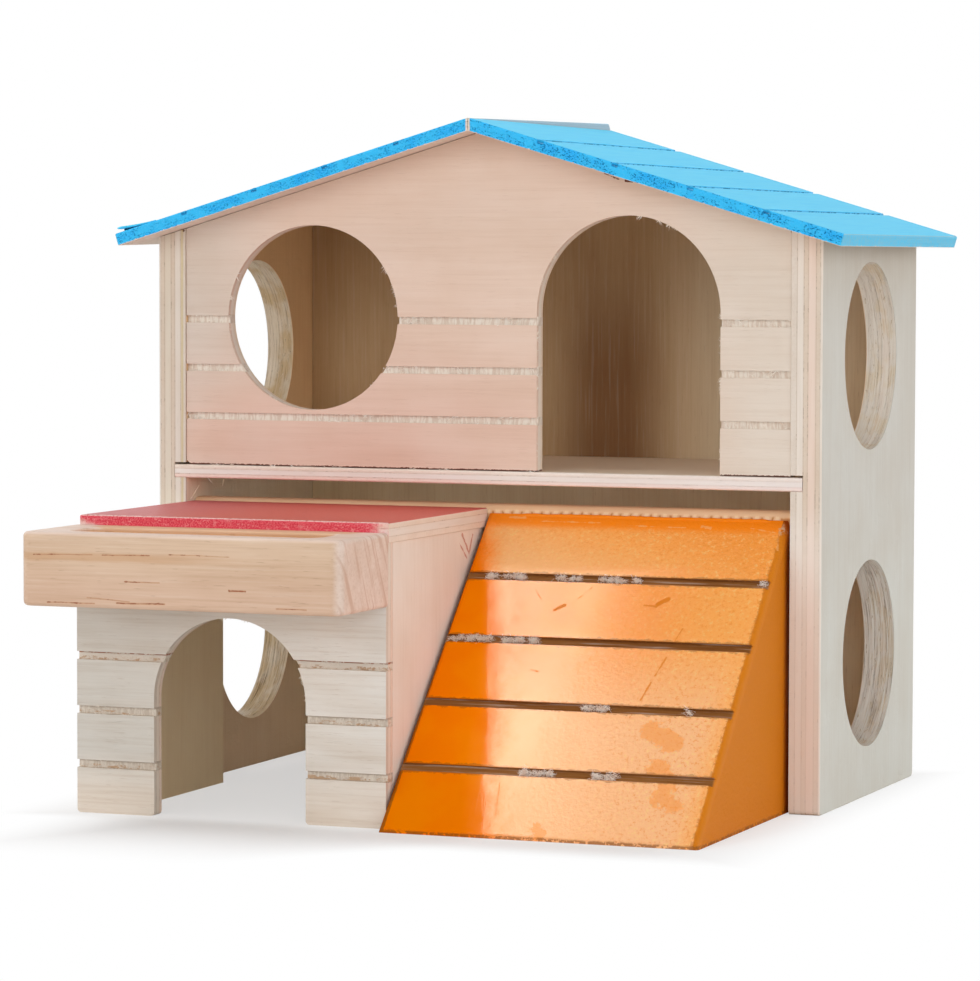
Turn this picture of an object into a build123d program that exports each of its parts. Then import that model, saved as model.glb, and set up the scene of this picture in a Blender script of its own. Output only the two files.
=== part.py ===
"""Two-storey wooden hamster house with a porch, a feeding trough and a ramp.

The house is two thick plywood side walls that carry everything else. A shelf sits in a dado across
each side wall and makes the upper floor. A back wall closes both storeys, and a gabled front wall
with a round window and an arched door closes the upper one. The ground floor is open at the front
under a pine rail. A low porch stands in front of its left half, with a trough glued to the porch's
face, and a solid ramp leans on the rail at its right half. Two painted panels make the roof.

Axes: +X to the right, +Y to the back, +Z up. The origin is on the ground, under the middle of the
space that the whole house takes up. All sizes are in millimetres.
"""

from build123d import *
import os
from math import atan2, cos, radians, sin, tan

os.makedirs("parts", exist_ok=True)

# ---------------------------------------------------------------- driving dimensions
# House body
body_width = 146.2
body_depth = 70.0
left_wall_thickness = 6.2
right_wall_thickness = 6.6
facade_thickness = 3.4
back_thickness = 3.3
glue_line = 0.12  # left between two glued pieces
sanded_edge = 0.4  # radius on the outer edges of the plywood
sanded_corner = 1.2  # radius on the feet of the side walls

# Upper floor
shelf_top = 67.8
shelf_thickness = 2.8
dado_depth = 2.6
dado_play = 0.45  # over the shelf, inside its dado
tongue_end_play = 0.1  # between the shelf's end and the bottom of its dado

# Roof
ridge_height = 140.0
roof_pitch = 16.5
roof_thickness = 2.55
eaves_overhang = 6.5
front_overhang = 7.6
rear_overhang = 9.3
roof_boards = 5  # that the grooves divide each panel into
roof_groove_width = 1.3
roof_groove_depth = 0.7
left_panel_lift = 1.6  # how much higher the left panel lies at the back than at the front
roof_edge = 0.35

# Round holes in the side walls. The upper room's height, less these two, is their diameter.
side_hole_over_shelf = 4.3
side_hole_under_roof = 6.6
lower_hole_over_ground = 10.4
left_hole_setback = 1.8  # of the left wall's upper hole, which was drilled a little far back

# Upper front wall
facade_setback = 0.3
window_x = -37.8
window_over_shelf = 11.95
window_under_roof = 6.65  # square to the roof, as the door's is
door_x = 31.9
door_width = 39.4
door_under_roof = 6.45
facade_corner_cut = 0.9  # off the two upper outer corners
facade_groove_count = 3
facade_groove_width = 1.5
facade_groove_depth = 0.9
facade_groove_first = 10.35  # over the shelf
facade_groove_pitch = 10.2

# Front rail, under the shelf
rail_setback = 3.9
rail_depth = 6.0
rail_height = 5.7
rail_top = 60.7
rail_front_radius = 2.2
rail_back_radius = 0.8

# Porch
porch_depth = 49.5
porch_width = 66.4
porch_height = 60.0
porch_roof_thickness = 3.9
porch_roof_overhang = 0.5
porch_side_thickness = 6.8
porch_face_proud = 0.8  # past the left side
porch_door_width = 33.0
porch_door_spring_height = 23.7
porch_right_leg = 17.1
porch_foot_radius = 0.8
porch_groove_count = 3
porch_groove_width = 1.6
porch_groove_depth = 1.0
porch_groove_first = 9.9
porch_groove_pitch = 10.9

# Trough
trough_depth = 23.7
trough_height = 14.5
trough_drop = 2.0  # from the porch roof's top to the trough's top
trough_end_proud = 0.5  # past each end of the porch's face
trough_corner_radius = 2.5
trough_edge_radius = 0.9
trough_rim = 5.6
trough_end_rim = 7.4
trough_recess_depth = 9.0
trough_recess_radius = 3.0
trough_lip_radius = 0.5

# Ramp
ramp_run = 58.0
ramp_rise = 58.9
ramp_toe = 0.9
ramp_left_gap = 0.15  # to the porch roof
ramp_toe_spread = 0.5  # how much further left its toe reaches than its crest
ramp_right_gap = 1.1  # to the right wall
ramp_groove_count = 4
ramp_groove_first = 15.3  # from the toe, up the slope
ramp_groove_pitch = 16.5
ramp_groove_width = 2.0
ramp_groove_depth = 0.6
ramp_edge_radius = 1.6
ramp_crest = 0.6  # flat that is left at its top

# ---------------------------------------------------------------- planes and levels worked out from them
front_reach = trough_depth + glue_line + porch_depth  # of what stands in front of the side walls
front_y = (front_reach - body_depth - rear_overhang) / 2  # front edges of the side walls
back_y = front_y + body_depth
porch_y = front_y - porch_depth  # front face of the porch
left_inner_x = left_wall_thickness - body_width / 2
right_inner_x = body_width / 2 - right_wall_thickness
porch_left_x = left_inner_x + glue_line
porch_right_x = porch_left_x + porch_width
porch_face_width = porch_width + porch_face_proud
rail_y = front_y + rail_setback
rail_bottom = rail_top - rail_height
shelf_bottom = shelf_top - shelf_thickness
back_inner_y = back_y - back_thickness
roof_front_y = front_y - front_overhang
roof_length = front_overhang + body_depth + rear_overhang
pitch = radians(roof_pitch)
slope_length = (body_width / 2 + eaves_overhang) / cos(pitch)


def roof_plane(side, lift):
    """Top face of a roof panel: x runs to the right along the slope, y to the back, z out of the roof.

    side is -1 for the left panel and +1 for the right one; lift is the rise from front to back.
    """
    across = Vector(cos(pitch), 0, -side * sin(pitch))
    rise = atan2(lift, roof_length)
    back = Vector(0, cos(rise), sin(rise))
    return Plane(origin=(0, roof_front_y, ridge_height), x_dir=across, z_dir=across.cross(back))


def seat_height(x):
    """How high the roof's lower face is above the ground, x to the side of the ridge."""
    return ridge_height - (roof_thickness + glue_line) / cos(pitch) - abs(x) * tan(pitch)


left_roof = roof_plane(-1, left_panel_lift)
right_roof = roof_plane(1, 0)
left_seat = left_roof.offset(-roof_thickness - glue_line)  # what stands under a panel ends here
right_seat = right_roof.offset(-roof_thickness - glue_line)
too_high = ridge_height + left_panel_lift  # blanks are this tall before the roof's slope cuts them


def finish(part, name):
    """Name a finished piece and write it to its own file."""
    part.label = name
    export_step(part, f"parts/{name}.step")


# ---------------------------------------------------------------- side walls
wall_mid_y = (front_y + back_y) / 2
upper_room_height = seat_height(body_width / 2 - right_wall_thickness) - shelf_top
side_hole_radius = (upper_room_height - side_hole_over_shelf - side_hole_under_roof) / 2
upper_hole_height = shelf_top + side_hole_over_shelf + side_hole_radius
lower_hole_height = lower_hole_over_ground + side_hole_radius


def side_wall(side, thickness, hole_setback, seat):
    """A wall with two drilled holes, sanded feet and a dado across its inner face for the shelf.

    side is -1 for the left wall and +1 for the right one. The seat of the roof panel that the wall
    carries gives its top its slope, and hole_setback moves its upper hole to the back.
    """
    outer_x = side * body_width / 2
    with BuildPart() as wall:
        with BuildSketch(Plane.YZ.offset(outer_x)):
            with Locations((front_y, 0)):
                Rectangle(body_depth, too_high, align=(Align.MIN, Align.MIN))
            fillet(vertices().group_by(Axis.Y)[0], sanded_corner)
            with Locations((wall_mid_y + hole_setback, upper_hole_height), (wall_mid_y, lower_hole_height)):
                Circle(side_hole_radius, mode=Mode.SUBTRACT)
        extrude(amount=-side * thickness)
        split(bisect_by=seat, keep=Keep.BOTTOM)
        upright_edges = edges().filter_by(Axis.Z).group_by(Axis.X)
        fillet(upright_edges[-1] if side > 0 else upright_edges[0], sanded_edge)
        with BuildSketch(Plane.YZ.offset(outer_x - side * thickness)):
            with Locations((front_y, shelf_bottom)):
                Rectangle(body_depth, shelf_thickness + dado_play, align=(Align.MIN, Align.MIN))
        extrude(amount=side * dado_depth, mode=Mode.SUBTRACT)
    return wall.part


finish(side_wall(-1, left_wall_thickness, left_hole_setback, left_seat), "left_wall")
finish(side_wall(1, right_wall_thickness, 0, right_seat), "right_wall")

# ---------------------------------------------------------------- back wall
# Plain, from the ground to the roof, between the side walls; the two roof seats give it its gable.
between_walls = right_inner_x - left_inner_x - 2 * glue_line
between_x = (left_inner_x + right_inner_x) / 2

with BuildPart() as back_wall:
    with BuildSketch(Plane.XZ.offset(-back_y)):
        with Locations((between_x, 0)):
            Rectangle(between_walls, too_high, align=(Align.CENTER, Align.MIN))
    extrude(amount=back_thickness)
    split(bisect_by=left_seat, keep=Keep.BOTTOM)
    split(bisect_by=right_seat, keep=Keep.BOTTOM)
finish(back_wall.part, "back_wall")

# ---------------------------------------------------------------- shelf
# The upper floor. Its ends are tongues in the side walls' dadoes, with the play above them.
shelf_left_x = left_inner_x - dado_depth + tongue_end_play
shelf_right_x = right_inner_x + dado_depth - tongue_end_play

with BuildPart() as shelf:
    with BuildSketch(Plane.XY.offset(shelf_bottom)):
        with Locations((shelf_left_x, front_y)):
            Rectangle(
                shelf_right_x - shelf_left_x,
                back_inner_y - glue_line - front_y,
                align=(Align.MIN, Align.MIN),
            )
    extrude(amount=shelf_thickness)
    fillet(edges().filter_by(Axis.X).group_by(Axis.Y)[0], sanded_edge)
finish(shelf.part, "shelf")

# ---------------------------------------------------------------- upper front wall
# The showpiece: a gabled panel with a drilled window and an arched door that is open down to the
# shelf. Three sawn grooves imitate boards and stop where they run into an opening.
facade_y = front_y + facade_setback
facade_bottom = shelf_top + glue_line
window_room = seat_height(window_x) - shelf_top - window_over_shelf
window_radius = (window_room * cos(pitch) - window_under_roof) / (1 + cos(pitch))
window_height = shelf_top + window_over_shelf + window_radius
door_spring_height = seat_height(door_x) - (door_width / 2 + door_under_roof) / cos(pitch)

with BuildPart() as front_wall:
    with BuildSketch(Plane.XZ.offset(-facade_y - facade_thickness)):
        with Locations((between_x, facade_bottom)):
            Rectangle(between_walls, too_high - facade_bottom, align=(Align.CENTER, Align.MIN))
        with Locations((window_x, window_height)):
            Circle(window_radius, mode=Mode.SUBTRACT)
        with Locations((door_x, door_spring_height)):
            Rectangle(
                door_width,
                door_spring_height - shelf_top,
                align=(Align.CENTER, Align.MAX),
                mode=Mode.SUBTRACT,
            )
            Circle(door_width / 2, mode=Mode.SUBTRACT)
    extrude(amount=facade_thickness)
    split(bisect_by=left_seat, keep=Keep.BOTTOM)
    split(bisect_by=right_seat, keep=Keep.BOTTOM)
    corners = edges().filter_by(Axis.Y).group_by(Axis.X)
    upper_corners = [corners[0].sort_by(Axis.Z)[-1], corners[-1].sort_by(Axis.Z)[-1]]
    chamfer(upper_corners, facade_corner_cut)
    with BuildSketch(Plane.XZ.offset(-facade_y)):
        for groove in range(facade_groove_count):
            with Locations((between_x, shelf_top + facade_groove_first + groove * facade_groove_pitch)):
                Rectangle(body_width, facade_groove_width)
    extrude(amount=-facade_groove_depth, mode=Mode.SUBTRACT)
finish(front_wall.part, "front_wall")

# ---------------------------------------------------------------- front rail
# A square pine strip under the shelf that the porch and the ramp are glued to. Its top is rounded
# towards the front, where a hamster steps over it.
with BuildPart() as front_rail:
    with BuildSketch(Plane.YZ.offset(left_inner_x + glue_line)):
        with Locations((rail_y, rail_bottom)):
            Rectangle(rail_depth, rail_height, align=(Align.MIN, Align.MIN))
        fillet(vertices().group_by(Axis.Y)[-1].sort_by(Axis.X)[0], rail_front_radius)
        fillet(vertices().group_by(Axis.Y)[-1].sort_by(Axis.X)[-1], rail_back_radius)
    extrude(amount=between_walls)
finish(front_rail.part, "front_rail")


# ---------------------------------------------------------------- roof panels
def roof_panel(side, top_face):
    """A painted panel with sawn grooves along the slope and a plumb cut where it meets its twin.

    side is -1 for the left panel and +1 for the right one; top_face is its roof plane.
    """
    board_width = slope_length / roof_boards
    with BuildPart() as panel:
        with BuildSketch(top_face):
            with Locations((side * slope_length / 2, roof_length / 2)):
                Rectangle(slope_length, roof_length)
        extrude(amount=-roof_thickness)
        weather_side = faces().sort_by(Axis(top_face.origin, top_face.z_dir))[-1]
        fillet(weather_side.edges(), roof_edge)
        with BuildSketch(top_face):
            for board in range(1, roof_boards):
                with Locations((side * board * board_width, roof_length / 2)):
                    Rectangle(roof_groove_width, 2 * roof_length)
        extrude(amount=-roof_groove_depth, mode=Mode.SUBTRACT)
        split(bisect_by=Plane.YZ.offset(side * glue_line / 2), keep=Keep.TOP if side > 0 else Keep.BOTTOM)
    return panel.part


# The left panel lies a little high at the back, so its raw edge shows over the right one there.
finish(roof_panel(-1, left_roof), "roof_left")
finish(roof_panel(1, right_roof), "roof_right")

# ---------------------------------------------------------------- porch
# A face with an arched door and the same sawn grooves, two thick sides behind it and a flat roof
# on top. The roof and the sides end at the front rail.
porch_wall_top = porch_height - porch_roof_thickness - glue_line
porch_back_y = porch_y + facade_thickness + glue_line  # where the sides start
porch_end_y = rail_y - glue_line
porch_side_depth = porch_end_y - porch_back_y
porch_door_x = porch_right_x - porch_right_leg - porch_door_width / 2

with BuildPart() as porch_front:
    with BuildSketch(Plane.XZ.offset(-porch_y - facade_thickness)):
        with Locations((porch_right_x, 0)):
            Rectangle(porch_face_width, porch_wall_top, align=(Align.MAX, Align.MIN))
        with Locations((porch_door_x, 0)):
            Rectangle(
                porch_door_width,
                porch_door_spring_height,
                align=(Align.CENTER, Align.MIN),
                mode=Mode.SUBTRACT,
            )
        with Locations((porch_door_x, porch_door_spring_height)):
            Circle(porch_door_width / 2, mode=Mode.SUBTRACT)
        fillet(vertices().group_by(Axis.Y)[0], porch_foot_radius)
    extrude(amount=facade_thickness)
    with BuildSketch(Plane.XZ.offset(-porch_y)):
        for groove in range(porch_groove_count):
            with Locations((porch_right_x, porch_groove_first + groove * porch_groove_pitch)):
                Rectangle(porch_face_width, porch_groove_width, align=(Align.MAX, Align.CENTER))
    extrude(amount=-porch_groove_depth, mode=Mode.SUBTRACT)
finish(porch_front.part, "porch_front")


def porch_side(edge_x, align):
    """A plain thick side behind the porch's face; edge_x is its outer face."""
    with BuildPart() as side:
        with BuildSketch(Plane.XY):
            with Locations((edge_x, porch_back_y)):
                Rectangle(porch_side_thickness, porch_side_depth, align=(align, Align.MIN))
        extrude(amount=porch_wall_top)
    return side.part


finish(porch_side(porch_left_x, Align.MIN), "porch_left_side")
finish(porch_side(porch_right_x, Align.MAX), "porch_right_side")

with BuildPart() as porch_roof:
    with BuildSketch(Plane.XY.offset(porch_height - porch_roof_thickness)):
        with Locations((porch_left_x, porch_y)):
            Rectangle(
                porch_width + porch_roof_overhang,
                porch_end_y - porch_y,
                align=(Align.MIN, Align.MIN),
            )
    extrude(amount=porch_roof_thickness)
    fillet(faces().sort_by(Axis.Z)[-1].edges(), sanded_edge)
finish(porch_roof.part, "porch_roof")

# ---------------------------------------------------------------- trough
# A solid pine block with rounded corners and a routed recess for food, glued to the porch's face.
trough_top = porch_height - trough_drop
trough_width = porch_face_width + 2 * trough_end_proud
trough_x = porch_right_x - porch_face_width / 2
trough_y = porch_y - glue_line - trough_depth / 2

with BuildPart() as feeding_trough:
    with BuildSketch(Plane.XY.offset(trough_top - trough_height)):
        with Locations((trough_x, trough_y)):
            Rectangle(trough_width, trough_depth)
        fillet(vertices().group_by(Axis.Y)[0], trough_corner_radius)
    extrude(amount=trough_height)
    rounded = faces().group_by(Axis.Z)[0].edges() + faces().group_by(Axis.Z)[-1].edges()
    glued = rounded.group_by(Axis.Y)[-1]
    fillet(rounded - glued, trough_edge_radius)
    with BuildSketch(Plane.XY.offset(trough_top)):
        with Locations((trough_x, trough_y)):
            RectangleRounded(
                trough_width - 2 * trough_end_rim,
                trough_depth - 2 * trough_rim,
                trough_recess_radius,
            )
    extrude(amount=-trough_recess_depth, mode=Mode.SUBTRACT)
    lip = faces().sort_by(Axis.Z)[-1].inner_wires()[0]
    fillet(lip.edges(), trough_lip_radius)
finish(feeding_trough.part, "feeding_trough")

# ---------------------------------------------------------------- ramp
# A solid painted wedge that leans on the rail. Its worn slope has rounded edges, and sawn grooves
# across it give the feet a hold.
ramp_left_x = porch_right_x + porch_roof_overhang + ramp_left_gap
ramp_width = right_inner_x - ramp_right_gap - ramp_left_x
ramp_toe_y = rail_y - glue_line - ramp_run
ramp_toe_left_x = ramp_left_x - ramp_toe_spread
slope_rise = ramp_rise - ramp_toe
slope_face = Plane(
    origin=(ramp_left_x, ramp_toe_y, ramp_toe),
    x_dir=(1, 0, 0),
    z_dir=(0, -slope_rise, ramp_run - ramp_crest),
)
left_side = Plane(
    origin=(ramp_toe_left_x, ramp_toe_y, 0),
    x_dir=(ramp_toe_spread, ramp_run, 0),
    z_dir=(ramp_run, -ramp_toe_spread, 0),
)

with BuildPart() as ramp:
    with BuildSketch(Plane.YZ.offset(ramp_toe_left_x)):
        with Locations((ramp_toe_y, 0)):
            Polygon(
                (0, 0),
                (ramp_run, 0),
                (ramp_run, ramp_rise),
                (ramp_run - ramp_crest, ramp_rise),
                (0, ramp_toe),
                align=None,
            )
    extrude(amount=ramp_width + ramp_toe_spread)
    split(bisect_by=left_side, keep=Keep.TOP)
    slope = faces().sort_by(SortBy.AREA)[-1]
    fillet(slope.edges().filter_by(lambda edge: abs(edge.tangent_at(0.5).X) < 0.5), ramp_edge_radius)
    with BuildSketch(slope_face):
        for groove in range(ramp_groove_count):
            with Locations((ramp_width / 2, ramp_groove_first + groove * ramp_groove_pitch)):
                Rectangle(2 * ramp_width, ramp_groove_width)
    extrude(amount=-ramp_groove_depth, mode=Mode.SUBTRACT)
finish(ramp.part, "ramp")
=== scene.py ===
# %% [markdown]
# # A two-storey wooden house for a hamster
# It has plywood walls, a blue gabled roof, a red porch roof with a pine trough in front of it, and an
# orange ramp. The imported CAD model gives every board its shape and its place, in metres. This lesson
# adds camera, light, wood and paint, and what tools and wear leave: torn fibres, beads and lint.

# %% Load the frame
import math

import bpy
import numpy as np
from mathutils import Matrix


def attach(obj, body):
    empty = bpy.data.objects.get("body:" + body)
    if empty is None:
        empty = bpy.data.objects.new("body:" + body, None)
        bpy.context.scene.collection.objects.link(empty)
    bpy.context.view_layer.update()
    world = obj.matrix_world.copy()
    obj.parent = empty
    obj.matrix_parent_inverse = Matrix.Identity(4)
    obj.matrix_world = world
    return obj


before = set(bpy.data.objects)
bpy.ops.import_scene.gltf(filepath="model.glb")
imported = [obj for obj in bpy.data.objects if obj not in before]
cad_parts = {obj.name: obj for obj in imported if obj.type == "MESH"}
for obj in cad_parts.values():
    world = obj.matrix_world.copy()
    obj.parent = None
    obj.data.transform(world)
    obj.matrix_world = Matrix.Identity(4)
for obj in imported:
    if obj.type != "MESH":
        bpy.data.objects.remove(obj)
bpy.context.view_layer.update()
MM = 0.001
X, Y, Z = range(3)


def span(board, axis):
    """Where a board of the CAD model starts and ends on one axis, in millimetres."""
    ends = [round(corner[axis] / MM, 3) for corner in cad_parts[board].bound_box]
    return min(ends), max(ends)


print(len(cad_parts), "boards between", span("left_wall", X)[0], "and", span("right_wall", X)[1])

# %% [markdown]
# ## Camera
# A long lens, from the front and a little to the right, keeps the uprights nearly parallel. The camera
# is turned about the vertical first, then tilted down, then rolled.

# %% Camera
FRAME_SIDE = 981  # pixels, the picture's longer side
FOCAL_PIXELS = 4120.6
CAMERA_PLACE = (0.3073, -0.7917, 0.1116)
CAMERA_TURN, CAMERA_TILT, CAMERA_ROLL = 21.101, 86.765, 0.136  # degrees
OPTICAL_AXIS_RIGHT = 3.65  # pixels from the picture's centre

lens = bpy.data.cameras.new("camera")
lens.lens = FOCAL_PIXELS / FRAME_SIDE * lens.sensor_width
lens.shift_x = -OPTICAL_AXIS_RIGHT / FRAME_SIDE
lens.clip_start, lens.clip_end = 0.05, 20
camera = bpy.data.objects.new("camera", lens)
camera.matrix_world = (
    Matrix.Translation(CAMERA_PLACE)
    @ Matrix.Rotation(math.radians(CAMERA_TURN), 4, "Z")
    @ Matrix.Rotation(math.radians(CAMERA_TILT), 4, "X")
    @ Matrix.Rotation(math.radians(CAMERA_ROLL), 4, "Z")
)
bpy.context.scene.collection.objects.link(camera)
bpy.context.scene.camera = camera
print("lens", round(lens.lens, 1), "mm")

# %% [markdown]
# ## Shader arithmetic
# A material is a small program made of nodes. Adding each node by hand hides the idea, so a socket is
# wrapped in `Term`, whose operators add Math nodes: `1 - mask * 0.5` reads as it works. Most masks come
# from `step`, a soft step over a distance in millimetres, and from noise.

# %% A socket that takes part in arithmetic
def operator(operation, swapped=False):
    """A method of Term that adds one Math node."""
    return lambda self, other: self.math(operation, *((other, self) if swapped else (self, other)))


class Term:
    """An output socket of a tree. Its operators and methods each add a node."""

    def __init__(self, nodes, socket):
        self.nodes, self.socket = nodes, socket

    def math(self, operation, *values):
        return self.nodes.node("Math", dict(enumerate(values)), operation=operation)

    __add__ = __radd__ = operator("ADD")
    __mul__ = __rmul__ = operator("MULTIPLY")
    __sub__, __rsub__ = operator("SUBTRACT"), operator("SUBTRACT", swapped=True)
    __truediv__, __gt__, __lt__ = operator("DIVIDE"), operator("GREATER_THAN"), operator("LESS_THAN")
    least, most = operator("MINIMUM"), operator("MAXIMUM")

    def __abs__(self):
        return self.math("ABSOLUTE", self)

    def step(self, low, high):
        """A soft step from 0 at low to 1 at high, or the other way round where low is the larger."""
        if low > high:
            return 1 - self.step(high, low)
        sockets = {"Value": self, "From Min": low, "From Max": high}
        return self.nodes.node("MapRange", sockets, interpolation_type="SMOOTHSTEP")


def tone(red, green, blue):
    """A colour written as 0 to 255, as on a screen, turned linear as the shader wants it."""
    share = np.array([red, green, blue]) / 255
    linear = np.where(share <= 0.04045, share / 12.92, ((share + 0.055) / 1.055) ** 2.4)
    return (*linear.tolist(), 1.0)


print("a mid grey is", round(tone(128, 128, 128)[0], 3), "when linear")

# %% [markdown]
# `Nodes` is a tree of terms. Its `node` method adds any node: the settings first, then the values or
# links of its sockets. A surface is built as a finisher builds it, in coats: each is a colour, from 0
# to 255, and a mask of where it lies, and a stain multiplies what is under it. Coats are Mix nodes,
# because a Math node would turn their colours grey.

# %% A tree of nodes
STAIN = "MULTIPLY"


class Nodes:
    """The nodes of a material or a world."""

    def __init__(self, owner):
        owner.use_nodes = True
        self.tree = owner.node_tree

    def feed(self, node, sockets):
        """Gives the sockets of a node, by name or number, their values or links."""
        for key, value in sockets.items():
            socket = node.inputs[key]
            if isinstance(value, Term):
                self.tree.links.new(value.socket, socket)
            else:
                is_tone = socket.type == "RGBA" and len(value) == 3
                socket.default_value = tone(*value) if is_tone else value

    def node(self, kind, sockets=None, out=0, stops=None, **settings):
        made = self.tree.nodes.new("ShaderNode" + kind)
        for key, value in settings.items():
            setattr(made, key, value)
        if stops:
            self.lay_stops(made.color_ramp, *stops)
        self.feed(made, sockets or {})
        return Term(self, made.outputs[out])

    @staticmethod
    def lay_stops(ramp, interpolation, stops):
        """Sets the stops of a colour ramp, each a position and a number or a colour."""
        ramp.interpolation = interpolation
        while len(ramp.elements) < len(stops):
            ramp.elements.new(1)
        for element, (position, colour) in zip(ramp.elements, stops):
            element.position = position
            element.color = tone(*colour) if hasattr(colour, "__len__") else (colour, colour, colour, 1)

    def vector(self, x, y, z):
        return self.node("CombineXYZ", {0: x, 1: y, 2: z})

    def vectors(self, operation, *values, out=0):
        return self.node("VectorMath", dict(enumerate(values)), out, operation=operation)

    def noise(self, scale, offset=0, detail=2.0, roughness=0.5, distortion=0.0, over=None):
        """Noise over the place or another vector, in mm; scale is its fineness each way, per mm."""
        scale, offset = (v if hasattr(v, "__len__") else (v, v, v) for v in (scale, offset))
        stretched = self.vectors("MULTIPLY_ADD", over or self.place, scale, offset)
        sockets = {"Vector": stretched, "Scale": 1.0, "Detail": detail, "Roughness": roughness}
        return self.node("TexNoise", sockets | {"Distortion": distortion})

    def cover(self, under, over, mask, blend="MIX"):
        """The colour over laid on the colour under, where mask is 1."""
        return self.node("Mix", {0: mask, 6: under, 7: over}, 2, data_type="RGBA", blend_type=blend)

    def coats(self, colour, *coats):
        """The colour under coats in this order, each (colour, mask) or (colour, mask, STAIN)."""
        for coat in coats:
            colour = self.cover(colour, *coat)
        return colour

    def bands(self, value, stops, interpolation="CONSTANT"):
        return self.node("ValToRGB", {0: value}, stops=(interpolation, stops))


# %% One finish
class Finish(Nodes):
    """A material on Object coordinates, which are read in millimetres."""

    def __init__(self, name, specular=0.2, tint=(255, 255, 255)):
        self.material = bpy.data.materials.new(name)
        super().__init__(self.material)
        self.shader = self.tree.nodes["Principled BSDF"]
        self.feed(self.shader, {"Specular IOR Level": specular, "Specular Tint": tint})
        coordinates = self.node("TexCoord", out="Object")
        self.place = self.node("VectorMath", {0: coordinates, 3: 1 / MM}, operation="SCALE")
        self.x, self.y, self.z = (self.node("SeparateXYZ", {0: self.place}, out) for out in "XYZ")

    def apply(self, colour, roughness, height, depth, matt=None):
        """Links the shader, with height as a bump of depth mm, and paints the board of the same name.

        Where matt is 1, a second shader takes over, which reflects nothing sharply.
        """
        bump = self.node("Bump", {"Strength": 1.0, "Distance": depth * MM, "Height": height})
        sockets = {"Base Color": colour, "Roughness": roughness, "Normal": bump}
        self.feed(self.shader, sockets)
        if matt is not None:
            dull = self.node("BsdfPrincipled", sockets | {"Specular IOR Level": 0.0})
            glossy = Term(self, self.shader.outputs[0])
            mixed = self.node("MixShader", {0: matt, 1: glossy, 2: dull})
            self.feed(self.tree.nodes["Material Output"], {"Surface": mixed})
        if self.material.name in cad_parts:
            for material_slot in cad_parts[self.material.name].material_slots:
                material_slot.material = self.material
        print(self.material.name, "has", len(self.tree.nodes), "nodes")
        return self


# %% [markdown]
# ## Light
# A plain studio: an even white world and two soft boxes overhead, a wide one and a narrow, brighter
# one at its left. The ramp leans back, so its lacquer mirrors them, and their end draws a sharp line
# down it. To the camera the world is plain white, so there is no horizon.

# %% World and lamps
WORLD_AT_HORIZON, WORLD_OVERHEAD = 1.6, 0.03
BOX_HEIGHT = 1.25

world = bpy.data.worlds.new("studio")
bpy.context.scene.world = world
bpy.context.scene.view_settings.view_transform = "Standard"
studio = Nodes(world)
upward = studio.node("SeparateXYZ", {0: studio.node("TexCoord", out="Generated")}, "Z")
level = WORLD_AT_HORIZON + upward.step(0.3, 0.8) * (WORLD_OVERHEAD - WORLD_AT_HORIZON)
seen = studio.node("LightPath", out="Is Camera Ray")
level = level * (1 - seen) + seen
white = studio.node("Background", {"Color": (1, 1, 1, 1), "Strength": level})
studio.feed(world.node_tree.nodes["World Output"], {"Surface": white})


def soft_box(name, low, high, level):
    """A rectangular lamp that shines straight down, with radiance level in W/m2/sr.

    low and high are the x and y of its corners, at BOX_HEIGHT.
    """
    lamp = bpy.data.lights.new(name, "AREA")
    lamp.shape = "RECTANGLE"
    lamp.size, lamp.size_y = high[0] - low[0], high[1] - low[1]
    lamp.energy = level * lamp.size * lamp.size_y * math.pi
    box = bpy.data.objects.new(name, lamp)
    box.location = ((low[0] + high[0]) / 2, (low[1] + high[1]) / 2, BOX_HEIGHT)
    bpy.context.scene.collection.objects.link(box)
    print(name, "is", [round(v, 2) for v in (lamp.size, lamp.size_y)], "m")


soft_box("overhead_box", (-0.34, -0.6), (0.46, 0.3), 1.5)
soft_box("strip_box", (-0.462, -0.6), (-0.34, 0.3), 7.0)

# %% [markdown]
# The floor is pale paper that catches the shadow. For the camera, plain white is mixed in: a share of
# it near the house, and all of it a few centimetres out, where the paper runs into the world.

# %% Floor
PAPER = (240, 240, 240)
WHITE_NEAR, WHITE_IN_FRONT = 0.56, 0.3  # shares of plain white beside the house and before its ramp
SHADOW_START, PORCH_SHADOW_END, RAMP_SHADOW_END = 62, 112, 78  # mm to the front of the origin

floor_mesh = bpy.data.meshes.new("floor")
floor_mesh.from_pydata([(-3, -3, 0), (3, -3, 0), (3, 3, 0), (-3, 3, 0)], [], [(0, 1, 2, 3)])
floor = bpy.data.objects.new("floor", floor_mesh)
bpy.context.scene.collection.objects.link(floor)

paper = Finish("paper", specular=0.0)
in_front = paper.y.step(-50, -62) * paper.x.step(70, 50)
near_share = WHITE_NEAR - in_front * (WHITE_NEAR - WHITE_IN_FRONT)
shadow_end = PORCH_SHADOW_END - paper.x.step(-20, 20) * (PORCH_SHADOW_END - RAMP_SHADOW_END)
ahead = ((0 - paper.y - SHADOW_START) / (shadow_end - SHADOW_START)).most(0).least(1)
ahead = ahead.step(0, 1).most(paper.x.step(-44, -72) * in_front)
beyond = (abs(paper.x) - 73).most(paper.y - 70).step(-9, 11).most(ahead)
seen = paper.node("LightPath", out="Is Camera Ray")
plain = paper.node("Emission", {"Color": (1, 1, 1, 1), "Strength": 1.0})
shaded = paper.node("BsdfDiffuse", {"Color": PAPER})
share = seen * (near_share + (1 - near_share) * beyond)
sheet = paper.node("MixShader", {0: share, 1: shaded, 2: plain})
paper.feed(paper.tree.nodes["Material Output"], {"Surface": sheet})
floor_mesh.materials.append(paper.material)
print("floor", [round(v, 2) for v in floor.dimensions])

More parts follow.
